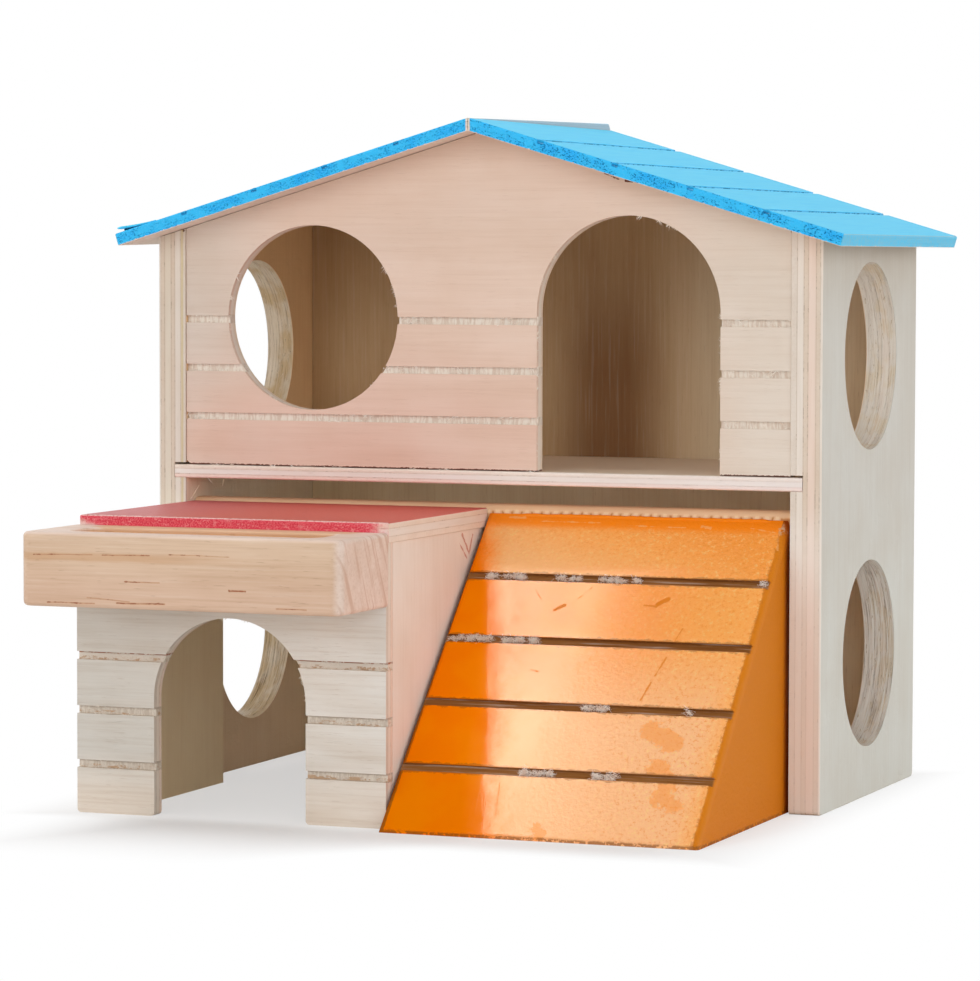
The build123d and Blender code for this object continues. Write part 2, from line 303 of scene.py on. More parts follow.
# %% [markdown]
# ## Wood
# One recipe serves every board. Wood is a solid texture: its fibres run through the board, and a cut
# across them shows their ends. The recipe takes a board's directions along, across and through the
# grain and stretches noise along the grain: broad growth figure, fine fibres and small pores.

# %% Wood recipe
def wood(f, along, across, through, ground, seed, crossed=None, figure=0.16):
    """The colour and relief of bare wood of colour ground; where crossed is 1, its grain is turned."""
    grain = f.vector(along, across, through)
    if crossed is not None:
        turned = f.vector(across, along, through)
        grain = f.node("Mix", {0: crossed, 4: grain, 5: turned}, 1, data_type="VECTOR")
    broad = f.noise((0.02, 0.17, 0.17), (seed, 3, 7), 2.5, 0.55, 0.5, over=grain)
    fibres = f.noise((0.05, 1.7, 1.7), (seed, 9, 1), 4, 0.62, over=grain)
    pores = f.noise((0.3, 4.2, 4.2), (5, seed, 2), 1, over=grain)
    cloud = f.noise(0.05, (seed, seed, 0), 3)
    colour = f.coats(
        ground,
        ((232, 220, 208), broad.step(0.4, 0.68) * figure, STAIN),
        ((246, 240, 234), cloud.step(0.38, 0.66) * 0.4, STAIN),
        ((222, 208, 194), fibres.step(0.46, 0.74) * figure, STAIN),
        ((252, 246, 238), fibres.step(0.48, 0.3) * 0.3 * figure),
        ((170, 138, 108), pores.step(0.68, 0.78) * 0.7 * figure, STAIN),
    )
    relief = fibres * 0.6 + broad * 0.2 - pores.step(0.66, 0.8) * 0.5
    return colour, relief


def plywood(f, along, across, through, faces, plies, seed, glue=0.25, figure=0.16, torn=0.0):
    """Wood in plies between two faces, each ply (share, its colour, 1 if its grain is crossed).

    Thin spotted lines between the plies are the glue. Where torn is 1, they waver and darken.
    """
    spots = f.noise(0.35, (seed, 0, seed), 4, 0.75)
    waver = f.noise(1.1, (seed, 5, 0), 3, 0.7)
    depth = (through + (waver - 0.5) * torn * 1.1 - faces[0]) / (faces[1] - faces[0])
    starts = np.cumsum([0] + [share for share, _, _ in plies])
    starts = starts / starts[-1]
    tones = []
    for start, end, ply in zip(starts, starts[1:], plies):
        tones += [(start + (end - start) * 0.2, ply[1]), (start + (end - start) * 0.8, ply[1])]
    ground = f.bands(depth, tones, "LINEAR")
    crossed = f.bands(depth, [(start, ply[2]) for start, ply in zip(starts, plies)])
    half = 0.09 / abs(faces[1] - faces[0])
    lines = [(0, 0)]
    for joint in starts[1:-1]:
        lines += [(joint - half, 1), (joint + half, 0)]
    colour, relief = wood(f, along, across, through, ground, seed, crossed, figure)
    line = f.bands(depth, lines)
    spotted = line * spots.step(0.54, 0.62) * (glue + torn * 0.6)
    colour = f.coats(colour, ((206, 184, 160), line * glue, STAIN), ((126, 96, 66), spotted, STAIN))
    return colour, relief - line * (torn * 2 + 0.4)


WHITE_PLY, CREAM_PLY = (238, 228, 216), (236, 220, 200)
GREY_PLY, PEACH_PLY = (230, 219, 206), (240, 220, 205)
TAN_PLY = (228, 212, 194)
print("wood recipe ready")

# %% [markdown]
# Some marks have a place of their own: saw cuts repeat at a pitch, and scratches, streaks and chips
# are strokes from one point of a face to another.

# %% Grooves and strokes
FACADE_GROOVES = (78.15, 10.2, 3)  # the height of the first, their pitch and their count
PORCH_GROOVES = (9.9, 10.9, 3)
RAMP_GROOVES = (15.3, 16.5, 4)  # up the slope


def groove_heights(first, pitch, count):
    return first + pitch * np.arange(count)


def nearest_groove(coordinate, first, pitch, count):
    """Distance to the middle of the nearest of count grooves, the first at first and pitch apart."""
    index = ((coordinate - first) / pitch).math("ROUND", (coordinate - first) / pitch)
    return abs(coordinate - first - index.most(0).least(count - 1) * pitch)


def sawn_face(f, front, grooves, half):
    """Masks of a board's front face and of the floors of the level grooves sawn into it."""
    face = f.y.step(front + 0.14, front + 0.07)
    return face, nearest_groove(f.z, *grooves).step(half, half - 0.15) * (f.y > front + 0.09)


def near_stroke(f, across, along, start, end):
    """Distance to the straight stroke from start to end, in two of a face's directions."""
    run = np.subtract(end, start)
    offset = f.vectors("SUBTRACT", f.vector(across, along, 0.0), (*start, 0))
    share = f.vectors("DOT_PRODUCT", offset, (*(run / (run @ run)), 0), out=1).most(0).least(1)
    foot = f.node("VectorMath", {0: (*run, 0), 3: share}, operation="SCALE")
    return f.vectors("DISTANCE", offset, foot, out=1)


def strokes(f, across, along, marks, ragged):
    """A mask of strokes, each two points and a half width; ragged breaks their outline, in mm."""
    mask = None
    for *ends, half in marks:
        reach = near_stroke(f, across, along, ends[:2], ends[2:]) + ragged
        stroke = reach.step(half + 0.12, half - 0.08)
        mask = stroke if mask is None else mask.most(stroke)
    return mask


print("grooves of the facade at", groove_heights(*FACADE_GROOVES).round(2), "mm")

# %% [markdown]
# ## Side walls, back wall and shelf
# The side walls have six plies, which show in their sawn front edges and in the bores of the holes.
# Their faces are grey-beige veneer with the grain upright, and the hole cutter leaves the bores torn
# and cracked. Inside, all the boards are yellower, and in the upper room they are painted darker, as
# painted shade.

# %% Side walls
HOUSE_FRONT = span("left_wall", Y)[0]


def front_edge(f):
    """A mask of the sawn front edge of a board that starts at HOUSE_FRONT."""
    return f.y.step(HOUSE_FRONT + 0.39, HOUSE_FRONT + 0.09)


def side_wall_finish(name, seed, warm_ply, browned):
    """A side wall's finish; browned is 1 to paint its bores darker and browner, and 0 to leave them pale.
    """
    f = Finish(name)
    inner_x, outer_x = sorted(span(name, X), key=abs)
    thickness = abs(outer_x - inner_x)
    plies = [
        (0.18, GREY_PLY, 1), (0.22, WHITE_PLY, 0), (0.13, TAN_PLY, 1),
        (0.25, warm_ply, 0), (0.13, TAN_PLY, 1), (0.09, WHITE_PLY, 0),
    ]
    depth = abs(f.x) - abs(inner_x)
    bore = f.y.step(-2.0, -1.0) * f.y.step(60, 58)
    colour, relief = plywood(f, f.z, f.y, depth, (0, thickness), plies, seed, 0.3, torn=bore)
    dry = f.noise((0.2, 0.12, 0.12), (seed, 4, 4), 3, 0.6)
    bore_tone = f.cover((255, 247, 234), (248, 232, 202), dry.step(0.45, 0.6))
    cracks = f.noise((3.6, 0.1, 0.1), (seed, 6, 1), 5, 0.62, 0.5, over=f.vector(depth, f.y, f.z))
    rougher = bore * f.z.step(90, 50) * 0.5 + bore * 0.5
    # The outer face is painted lighter towards the foot and darker under the eave: painted light and
    # shade.
    face = f.coats(
        (217, 215, 206),
        ((213, 209, 200), f.z.step(30, 70)),
        ((197, 190, 178), f.z.step(92, 114)),
    )
    face, _ = wood(f, f.z, f.y, f.x, face, seed + 1, figure=0.12)
    # Inside, painted light and shade: lighter high in the lower room, darker in the upper room.
    inner = f.coats(
        (253, 232, 202),
        ((255, 243, 220), f.z.step(46, 54)),
        ((248, 213, 166), f.z.step(64, 68)),
    )
    inner, _ = wood(f, f.z, f.y, f.x, inner, seed + 3)
    colour = f.coats(
        colour,
        (bore_tone, bore * 0.7),
        ((220, 204, 178), bore * (dry.step(0.35, 0.65) * 0.4 + 0.6) * browned, STAIN),
        ((255, 251, 240), cracks.step(0.54, 0.4) * rougher * (0.9 - browned * 0.7)),
        ((150, 124, 86), cracks.step(0.59, 0.66) * rougher * (0.6 + browned * 0.3), STAIN),
        (face, depth.step(thickness - 0.12, thickness - 0.05)),
        (inner, depth.step(0.12, 0.05) * f.y.step(-2.7, -2.3)),
    )
    return f, colour, relief - cracks.step(0.5, 0.66) * rougher * 2.0


f, colour, relief = side_wall_finish("left_wall", 2.3, (234, 223, 206), 1.0)
# A painted shadow of a gap under the roof at the back, where the panel above lies a little high.
gap = (f.z - f.y.step(30, 66) * 1.6).step(117.0, 117.4) * abs(f.x + 66.9).step(0.3, 0.1)
pin = strokes(f, f.x, f.z, [(-67.4, 117.15, -67.3, 117.15, 0.27)], 0)
glue_line = abs(f.x + 67.5 + f.noise(0.2, (3, 3, 9)) * 0.3).step(0.36, 0.12)
colour = f.coats(
    colour,
    ((96, 60, 44), gap * f.y.step(34, 46) * 0.9, STAIN),
    ((112, 66, 50), pin * front_edge(f), STAIN),
    ((247, 247, 246), front_edge(f) * f.z.step(56, 66), STAIN),
    ((212, 194, 146), glue_line * front_edge(f) * 0.75),
)
f.apply(colour, 0.62 + relief * 0.1, relief, 0.05)

f, colour, relief = side_wall_finish("right_wall", 5.1, PEACH_PLY, 0.0)
# Painted light: the front edge is painted paler towards its foot.
colour = f.cover(colour, (252, 243, 234), front_edge(f) * f.z.step(64, 50) * 0.45)
f.apply(colour, 0.62 + relief * 0.1, relief, 0.05)

# %% Back wall
f = Finish("back_wall")
faces = span("back_wall", Y)
plies = [(0.25, TAN_PLY, 0), (0.5, CREAM_PLY, 1), (0.25, TAN_PLY, 0)]
colour, relief = plywood(f, f.z, f.x, f.y, faces, plies, 8.4)
# Painted shade: the upper room is darker, paler to the right and darkest in a patch low in the middle.
painted_shade_patch = abs(f.x - 5).step(18, 3) * f.z.step(124, 84)
upper_room = f.coats(
    (205, 174, 134),
    ((225, 207, 176), f.x.step(10, 36)),
    ((134, 93, 56), painted_shade_patch * 0.9),
)
inner = f.cover((255, 238, 202), upper_room, f.z.step(64, 68))
inner, _ = wood(f, f.z, f.x, f.y, inner, 4.2, figure=0.25)
colour = f.cover(colour, inner, f.y.step(faces[0] + 0.14, faces[0] + 0.04))
f.apply(colour, 0.65, relief, 0.06)

# %% Shelf
f = Finish("shelf")
plies = [(0.3, (248, 222, 210), 1), (0.4, (244, 236, 228), 0), (0.3, (244, 230, 216), 1)]
colour, relief = plywood(f, f.x, f.y, f.z, span("shelf", Z), plies, 1.7)
colour = f.coats(
    colour,
    # Painted shade: the top is browner inside the upper room.
    ((236, 213, 187), f.z.step(67.6, 67.75) * f.y.step(-2.2, 0) * 0.8),
    ((246, 236, 234), front_edge(f) * f.x.step(-20, 50) * 0.5),
)
f.apply(colour, 0.6, relief, 0.08)

# %% [markdown]
# ## Front wall and rail
# The gable is thin plywood with a peach face veneer, its grain level. Three saw cuts go through it into
# the paler ply below. The rail under the shelf is pine, and the planer has left a row of small teeth
# along it.

# %% Front wall
FACADE_FRONT = span("front_wall", Y)[0]

f = Finish("front_wall")
plies = [(0.26, (244, 220, 204), 0), (0.5, (248, 236, 224), 1), (0.24, (244, 226, 206), 0)]
colour, relief = plywood(f, f.x, f.z, f.y, span("front_wall", Y), plies, 6.6, 0.15)
blush = f.noise((0.03, 0.03, 0.06), (4, 1, 1))
low = f.z.step(98, 76) * f.x.step(60, 10)
veneer = f.coats(
    (222, 208, 194),
    ((234, 210, 192), f.x.step(-66, -40)),
    ((232, 220, 206), f.x.step(20, 62)),
    ((231, 201, 183), (blush.step(0.42, 0.66) * 0.4 + 0.6) * low),
)
veneer, _ = wood(f, f.x, f.z, f.y, veneer, 3.2)
face, cut = sawn_face(f, FACADE_FRONT, FACADE_GROOVES, 0.95)
streaks = f.noise((1.9, 1, 0.35), (0, 0, 4), 3, 0.7)
groove_floor = f.cover((222, 206, 190), (242, 234, 222), streaks.step(0.4, 0.6))
ragged = (streaks - 0.5) * 0.7
seam = (f.z + ragged).step(68.2, 68.05) * blush.step(0.4, 0.46)
chip_strokes = [(31.3, 127.2, 32.7, 127.1, 0.24), (26.8, 128.7, 29.7, 127.5, 0.06)]
chips = strokes(f, f.x, f.z, chip_strokes, ragged)
colour = f.coats(
    colour,
    (veneer, face),
    (groove_floor, cut * 0.9),
    ((112, 66, 50), seam.most(chips * face), STAIN),
)
f.apply(colour, 0.6, relief * 0.5 + streaks * cut, 0.12)

# %% Front rail
TOOTH_PITCH, TOOTH_HEIGHT = 2.15, 59.3

f = Finish("front_rail")
ground = f.cover((242, 208, 168), (234, 182, 124), f.z.step(60.4, 57.5))
colour, relief = wood(f, f.x, f.z, f.y, ground, 4.4)
wander = (f.noise(0.4, 2, 3) - 0.5) * 1.6
tooth = nearest_groove(f.x + wander, -60.0, TOOTH_PITCH, 58)
below_teeth = (f.z + wander * 0.6).step(TOOTH_HEIGHT + 0.4, TOOTH_HEIGHT - 0.2)
colour = f.coats(
    colour,
    ((216, 180, 140), tooth.step(0.7, 1.0) * below_teeth, STAIN),
    ((255, 232, 196), tooth.step(0.6, 0.3) * abs(f.z - TOOTH_HEIGHT).step(0.5, 0.2) * 0.6),
)
f.apply(colour, 0.55, relief, 0.1)

# %% [markdown]
# ## Roof
# Both panels are sprayed blue on top and round their edges, and left raw below and at the ridge. Spray
# soaks into the sawn edges, which are darker and pitted. The pits and the open ends of the grooves are
# painted dark, as painted shade, and the grooves lighter than the top, as painted light.

# %% Roof panels
RIDGE, ROOF_PITCH = 140, math.radians(16.5)
SLOPE_LENGTH, ROOF_THICKNESS = 83.02, 2.55
ROOF_FRONT, ROOF_BACK = span("roof_right", Y)
ROOF_GROOVE_PITCH = SLOPE_LENGTH / 5
LEFT_LIFT = 1.6  # how much higher the left panel lies at its back


def roof_finish(name, lift, pitting, seed):
    """Blue paint for a panel that lies lift higher at its back."""
    f = Finish(name, specular=0.12)
    rise = (f.y - ROOF_FRONT) * (lift / (ROOF_BACK - ROOF_FRONT))
    below = (RIDGE + rise - abs(f.x) * math.tan(ROOF_PITCH) - f.z) * math.cos(ROOF_PITCH)
    down_slope = abs(f.x) / math.cos(ROOF_PITCH) + below * math.tan(ROOF_PITCH)
    plies = [(0.3, (240, 232, 220), 0), (0.4, (234, 226, 214), 1), (0.3, (240, 225, 212), 0)]
    raw, relief = plywood(f, f.y, down_slope, below, (0, ROOF_THICKNESS), plies, seed)
    fibres = f.noise((0.9, 0.05, 0.9), (seed, 0, 0), 3, over=f.vector(down_slope, f.y, f.z))
    speckle = f.noise(1.3, (seed, 1, 1), 3, 0.65)
    end_on = f.vector(down_slope, below, f.y)
    patches = f.noise((0.25, 0.5, 0.4), (seed, 8, 0), over=end_on)
    pits = f.noise((2.6, 3.4, 0.4), (seed, 2, 0), 2, 0.6, over=end_on)
    dashes = f.noise((0.5, 0.32, 1), (seed, 4, 0), 3, 0.7, over=f.vector(down_slope, f.y, 0))

    sawn = f.y.step(ROOF_FRONT + 0.25, ROOF_FRONT + 0.1)
    pitted = pits.step(0.57, 0.61) * patches.step(0.32, 0.46) * sawn * pitting
    groove = nearest_groove(down_slope, ROOF_GROOVE_PITCH, ROOF_GROOVE_PITCH, 4)
    behind_skin = f.y.step(ROOF_FRONT + 0.5, ROOF_FRONT + 0.9)
    cut = groove.step(0.78, 0.6) * (below > 0.1) * (below < 0.75) * behind_skin
    # Where the grooves open in the sawn edge, for the painted shade in them.
    painted_groove_end_shade = (groove + speckle * 0.6).step(1.05, 0.85) * below.step(0.95, 0.75) * sawn * pitting
    eave = down_slope.step(SLOPE_LENGTH - 0.25, SLOPE_LENGTH - 0.05)
    sawn_blue = f.cover((60, 197, 255), (48, 186, 255), patches.step(0.4, 0.65))
    eave_blue = f.cover((96, 206, 244), (122, 202, 234), speckle.step(0.4, 0.6))
    blue = f.coats(
        (82, 214, 255),
        ((74, 207, 255), fibres.step(0.4, 0.7) * 0.4),
        (sawn_blue, sawn),
        # Painted shade in the pits.
        ((12, 116, 186), pitted * 0.9),
        ((110, 206, 255), pits.step(0.42, 0.34) * sawn * 0.35),
        # The grooves are painted lighter than the top, as painted light, with dark dashes of painted
        # shade.
        ((134, 222, 255), cut),
        ((34, 142, 190), cut * dashes.step(0.48, 0.56)),
        # Painted shade in the open ends of the grooves.
        ((14, 132, 192), painted_groove_end_shade * 0.85),
        (eave_blue, eave),
        ((206, 204, 196), (below + speckle * 0.5).step(0.5, 0.3) * eave * 0.55),
    )
    missed = speckle.step(0.56, 0.66) * 0.14
    bare = (below + missed).step(ROOF_THICKNESS - 0.12, ROOF_THICKNESS - 0.02)
    ridge = (abs(f.x) + speckle * 0.3).step(0.75, 0.5)
    overspray = ridge * f.y.step(-8, 0) * below.step(2.2, 1.2)
    raw = f.cover(raw, (150, 184, 202), overspray * 0.9)
    colour = f.cover(blue, raw, bare.most(ridge))
    relief = relief * 0.2 + fibres * 0.2 - pitted - cut * speckle * 0.6
    return f.apply(colour, 0.5 + sawn * 0.2 + fibres * 0.1, relief, 0.12)


roof_finish("roof_left", LEFT_LIFT, 0.6, 3.9)
roof_finish("roof_right", 0.0, 1.0, 7.7)

# %% [markdown]
# ## Porch
# The porch has a plywood face with saw cuts, two thick sides, and a plywood lid that is painted red
# on top. The paint on its front edge is thin and brushed, with the wood showing.

# %% Porch face
PORCH_FRONT = span("porch_front", Y)[0]

f = Finish("porch_front")
plies = [(0.3, (222, 212, 200), 0), (0.4, WHITE_PLY, 1), (0.3, PEACH_PLY, 0)]
colour, relief = plywood(f, f.x, f.z, f.y, span("porch_front", Y), plies, 9.1)
ground = f.coats(
    (213, 208, 199),
    ((232, 227, 219), f.x.step(-60, -8)),
    ((238, 225, 210), f.z.step(14, 2) * 0.8),
)
veneer, _ = wood(f, f.x, f.z, f.y, ground, 2.7, figure=0.3)
face, cut = sawn_face(f, PORCH_FRONT, PORCH_GROOVES, 1.0)
streaks = f.noise((2.2, 1, 0.6), (3, 0, 4), 4, 0.7)
blotch = f.noise((0.5, 1, 1.2), (9, 0, 2), 4, 0.75)
upper_groove = f.z.step(26, 29)
low_edge = nearest_groove(f.z + 0.45, *PORCH_GROOVES).step(0.5, 0.25)
# The grooves are darker along their upper lips, and reddish brown in the highest groove.
high_edge = nearest_groove(f.z - 0.7, *PORCH_GROOVES).step(0.26, 0.14) * blotch.step(0.4, 0.48)
upper_lip_tone = f.cover((196, 180, 164), (170, 112, 84), upper_groove)
groove_floor = f.coats(
    (208, 194, 178),
    ((228, 218, 204), streaks.step(0.4, 0.6).most(upper_groove)),
    ((198, 166, 136), blotch.step(0.5, 0.57) * low_edge),
)
colour = f.coats(colour, (veneer, face), (groove_floor, cut), (upper_lip_tone, high_edge * cut))
f.apply(colour, 0.62, relief * 0.6 + streaks * cut, 0.12)

# %% Porch sides
def porch_side_finish(name, side, seed):
    """A porch side's finish; side is -1 for the left one and 1 for the right one."""
    f = Finish(name)
    inner_x, outer_x = span(name, X)[::side]
    tones = (PEACH_PLY, WHITE_PLY, TAN_PLY, WHITE_PLY, PEACH_PLY)
    plies = [(0.2, ply, index % 2) for index, ply in enumerate(tones)]
    colour, relief = plywood(f, f.z, f.y, f.x, (inner_x, outer_x), plies, seed, 0.3)
    outer, _ = wood(f, f.z, f.y, f.x, (245, 235, 224), seed + 2, figure=0.12)
    inner, _ = wood(f, f.z, f.y, f.x, (253, 235, 200), seed + 3)
    outside, inside = (abs(f.x - x).step(0.3, 0.15) for x in (outer_x, inner_x))
    return f, f.coats(colour, (outer, outside), (inner, inside)), relief


f, colour, relief = porch_side_finish("porch_left_side", -1, 2.8)
f.apply(colour, 0.6, relief, 0.06)

f, colour, relief = porch_side_finish("porch_right_side", 1, 4.9)
waver = (f.noise(0.8) - 0.5) * 0.9
knot = [(-12.2, 55.3, -8.3, 51.2, 0.3), (-6.3, 54.8, -8.3, 51.2, 0.26), (-13.5, 53.5, -9.5, 50.2, 0.14)]
mark = strokes(f, f.y, f.z, knot, waver) * f.x.step(-0.6, -0.45)
colour = f.cover(colour, (214, 156, 138), mark * 0.8, STAIN)
f.apply(colour, 0.6, relief, 0.06)

# %% Porch roof
f = Finish("porch_roof")
plies = [(0.3, (246, 232, 218), 0), (0.4, (246, 236, 226), 1), (0.3, (246, 228, 212), 0)]
raw, relief = plywood(f, f.x, f.y, f.z, span("porch_roof", Z), plies, 6.1)
wear = f.noise((0.9, 0.9, 1.4), (1, 5, 2), 4, 0.7)
fleck = f.noise(3.2, (7, 1, 2), 3, 0.7)
on_top = f.z.step(59.75, 59.9)
in_front = f.y.step(PORCH_FRONT + 0.19, PORCH_FRONT + 0.07)
red_top = f.coats(
    (214, 102, 90),
    ((204, 114, 118), f.x.step(-30, -66) * 0.7),
    ((236, 226, 226), wear.step(0.46, 0.7) * 0.6, STAIN),
)
bare_left = (f.x + wear * 8 + (f.z - 57) * 3).step(-54.0, -60.0)
bare_ends = bare_left.most((f.x - wear * 8).step(-8.5, -3.5))
red_edge = f.coats(
    (216, 56, 76),
    ((234, 100, 112), fleck.step(0.42, 0.58)),
    ((238, 150, 154), (wear + (fleck - 0.5) * 0.8).step(0.52, 0.7) * 0.8),
    (raw, bare_ends.most((f.z - fleck * 0.9).step(56.2, 55.8)) * 0.8),
)
# The arris is paler: worn paint, and a painted highlight along it.
arris = (f.y + wear * 0.7).step(-51.45, -51.8) * on_top
lumps = abs(f.y + 52.0).step(0.4, 0.15) * on_top * wear.step(0.5, 0.56)
colour = f.coats(
    raw,
    (red_top, on_top),
    (red_edge, in_front),
    ((240, 206, 198), arris * fleck.step(0.34, 0.46)),
    ((176, 40, 54), lumps * 0.7),
)
f.apply(colour, 0.5, relief * 0.5 + wear * 0.6, 0.14)

# %% [markdown]
# ## Trough
# A block of pine, oiled by handling, with thin resin streaks along the grain. On its sawn end the
# growth rings rise at a slant.

# %% Feeding trough
f = Finish("feeding_trough", specular=0.25)
at_end = f.x.step(-1.8, -0.2)
recess = f.z.step(57.6, 57.2) * (f.y > -71.5) * (f.y < -57.8) * (f.x > -61.5) * (f.x < -6.5)
rear_rim = f.y.step(-59, -58) * f.x.step(-63, -60) * f.x.step(-4, -7)
ground = f.coats(
    (222, 188, 162),
    ((226, 196, 168), f.z.step(46, 55)),
    # A painted highlight: the top and its eased rim are paler.
    ((244, 220, 204), f.z.step(57.2, 57.9)),
    ((236, 216, 203), at_end),
    ((236, 190, 146), recess.most(rear_rim * 0.8)),
)
colour, relief = wood(f, f.x, f.z, f.y, ground, 7.3, figure=0.35)
slant = f.vector(f.x * 0.01, f.y * 0.42 + f.z * 0.2, f.z * 0.03)
rings = f.noise(1, (2, 0, 0), 3, over=slant)
waver = (f.noise((0.12, 0.3, 0.3), (0, 0, 3), 3) - 0.5) * 1.2
broken = (f.noise((0.7, 1, 1), (4, 0, 3), 2, 0.7) - 0.5) * 0.6
streaks = [
    (-64.9, 53.7, -52.2, 53.9, 0.07), (-50.0, 53.9, -39.9, 54.1, 0.1), (-35.7, 54.3, -23.0, 54.3, 0.06),
    (-45.2, 48.9, -37.8, 48.9, 0.1), (-23.0, 47.8, -19.6, 47.8, 0.18), (-61.9, 44.4, -51.7, 44.4, 0.1),
    (-53.3, 45.5, -44.2, 45.0, 0.08), (-46.9, 44.7, -36.7, 44.7, 0.16), (-13.1, 44.6, -6.9, 44.6, 0.12),
]
on_face = f.y.step(-74.5, -75.5)
resin = strokes(f, f.x, f.z + waver * 0.35, streaks, broken * 1.5 + 0.13) * on_face
halo = strokes(f, f.x, f.z + waver * 0.35, streaks, 0.0) * on_face
summerwood = abs(f.z + waver - 53.4).step(1.3, 0.3) * f.x.step(-10, -45)
colour = f.coats(
    colour,
    ((206, 168, 144), rings.step(0.52, 0.62) * at_end * 0.6),
    ((228, 196, 170), halo * 0.7, STAIN),
    ((186, 128, 92), resin * 0.85, STAIN),
    ((238, 218, 196), summerwood * 0.7, STAIN),
    # Painted shade: the rounded left end is greyer and darker.
    ((196, 180, 172), f.x.step(-66.9, -67.9) * 0.5),
)
f.apply(colour, 0.5 + relief * 0.1, relief, 0.07)

# %% [markdown]
# ## Ramp
# A wedge of softwood under thick orange lacquer, with saw cuts whose floors are raw and dark brown.
# The lacquer is smooth, matt and deep orange at the left, and pebbled towards the right and the crest,
# where its colour holds painted highlights of the lamps. Claws have scratched it, feet have smeared
# it, and its edges are rubbed down to the wood, with painted highlights on the crest.

# %% Ramp
(RAMP_TOE_Y, ramp_back_y), (_, RAMP_CREST_Z) = span("ramp", Y), span("ramp", Z)
RAMP_RIGHT, RAMP_TOE_Z, CREST_FLAT = span("ramp", X)[1], 0.9, 0.6
slope = math.atan2(RAMP_CREST_Z - RAMP_TOE_Z, ramp_back_y - RAMP_TOE_Y - CREST_FLAT)
RAMP_COS, RAMP_SIN = math.cos(slope), math.sin(slope)
# Strokes on the slope, as (x, distance up from the toe), with half widths.
SCRATCHES = [
    (49.7, 52.7, 48.8, 49.4, 0.12), (48.1, 45.2, 46.9, 40.6, 0.16), (46.5, 38.8, 45.4, 34.3, 0.14),
    (44.5, 30.8, 44.0, 28.4, 0.04), (16.0, 62.0, 18.3, 58.8, -0.04), (26.0, 59.5, 28.2, 62.5, -0.04),
    (20.7, 40.8, 22.3, 40.4, 0.02),
]
CHIPS = [(21.8, 56.4, 23.5, 57.8, 0.3), (40.3, 58.4, 42.9, 58.2, 0.2), (43.1, 58.8, 44.8, 60.1, 0.5)]
DRAGS = [
    (18.3, 10.4, 19.0, 0.7, 0.01), (17.6, 8.0, 18.1, 1.1, 0), (19.4, 10.0, 21.4, 1.0, 0),
    (20.3, 8.0, 21.0, 3.3, 0), (22.0, 12.5, 23.2, 5.0, 0),
]
SMEARS = [(49.5, 27, 54.5, 24, 2.2), (53, 18, 56, 14, 2), (55, 11, 58, 9, 1.8), (32, 1.6, 33, 1.2, 1.2)]
# Rubbed marks on the crest and the right edge; those on the crest also carry painted highlights.
WORN_AND_HIGHLIT = [
    (5.6, 80.7, 8.9, 80.6, 0.22), (10.2, 79.8, 25.5, 79.8, 0.02), (30, 79.3, 44, 79.1, 0),
    (47.6, 79.6, 49.2, 79.2, 0.45), (57.6, 79.5, 63.2, 78.4, 0.05), (64.0, 79.0, 64.5, 74.0, 0.12),
]


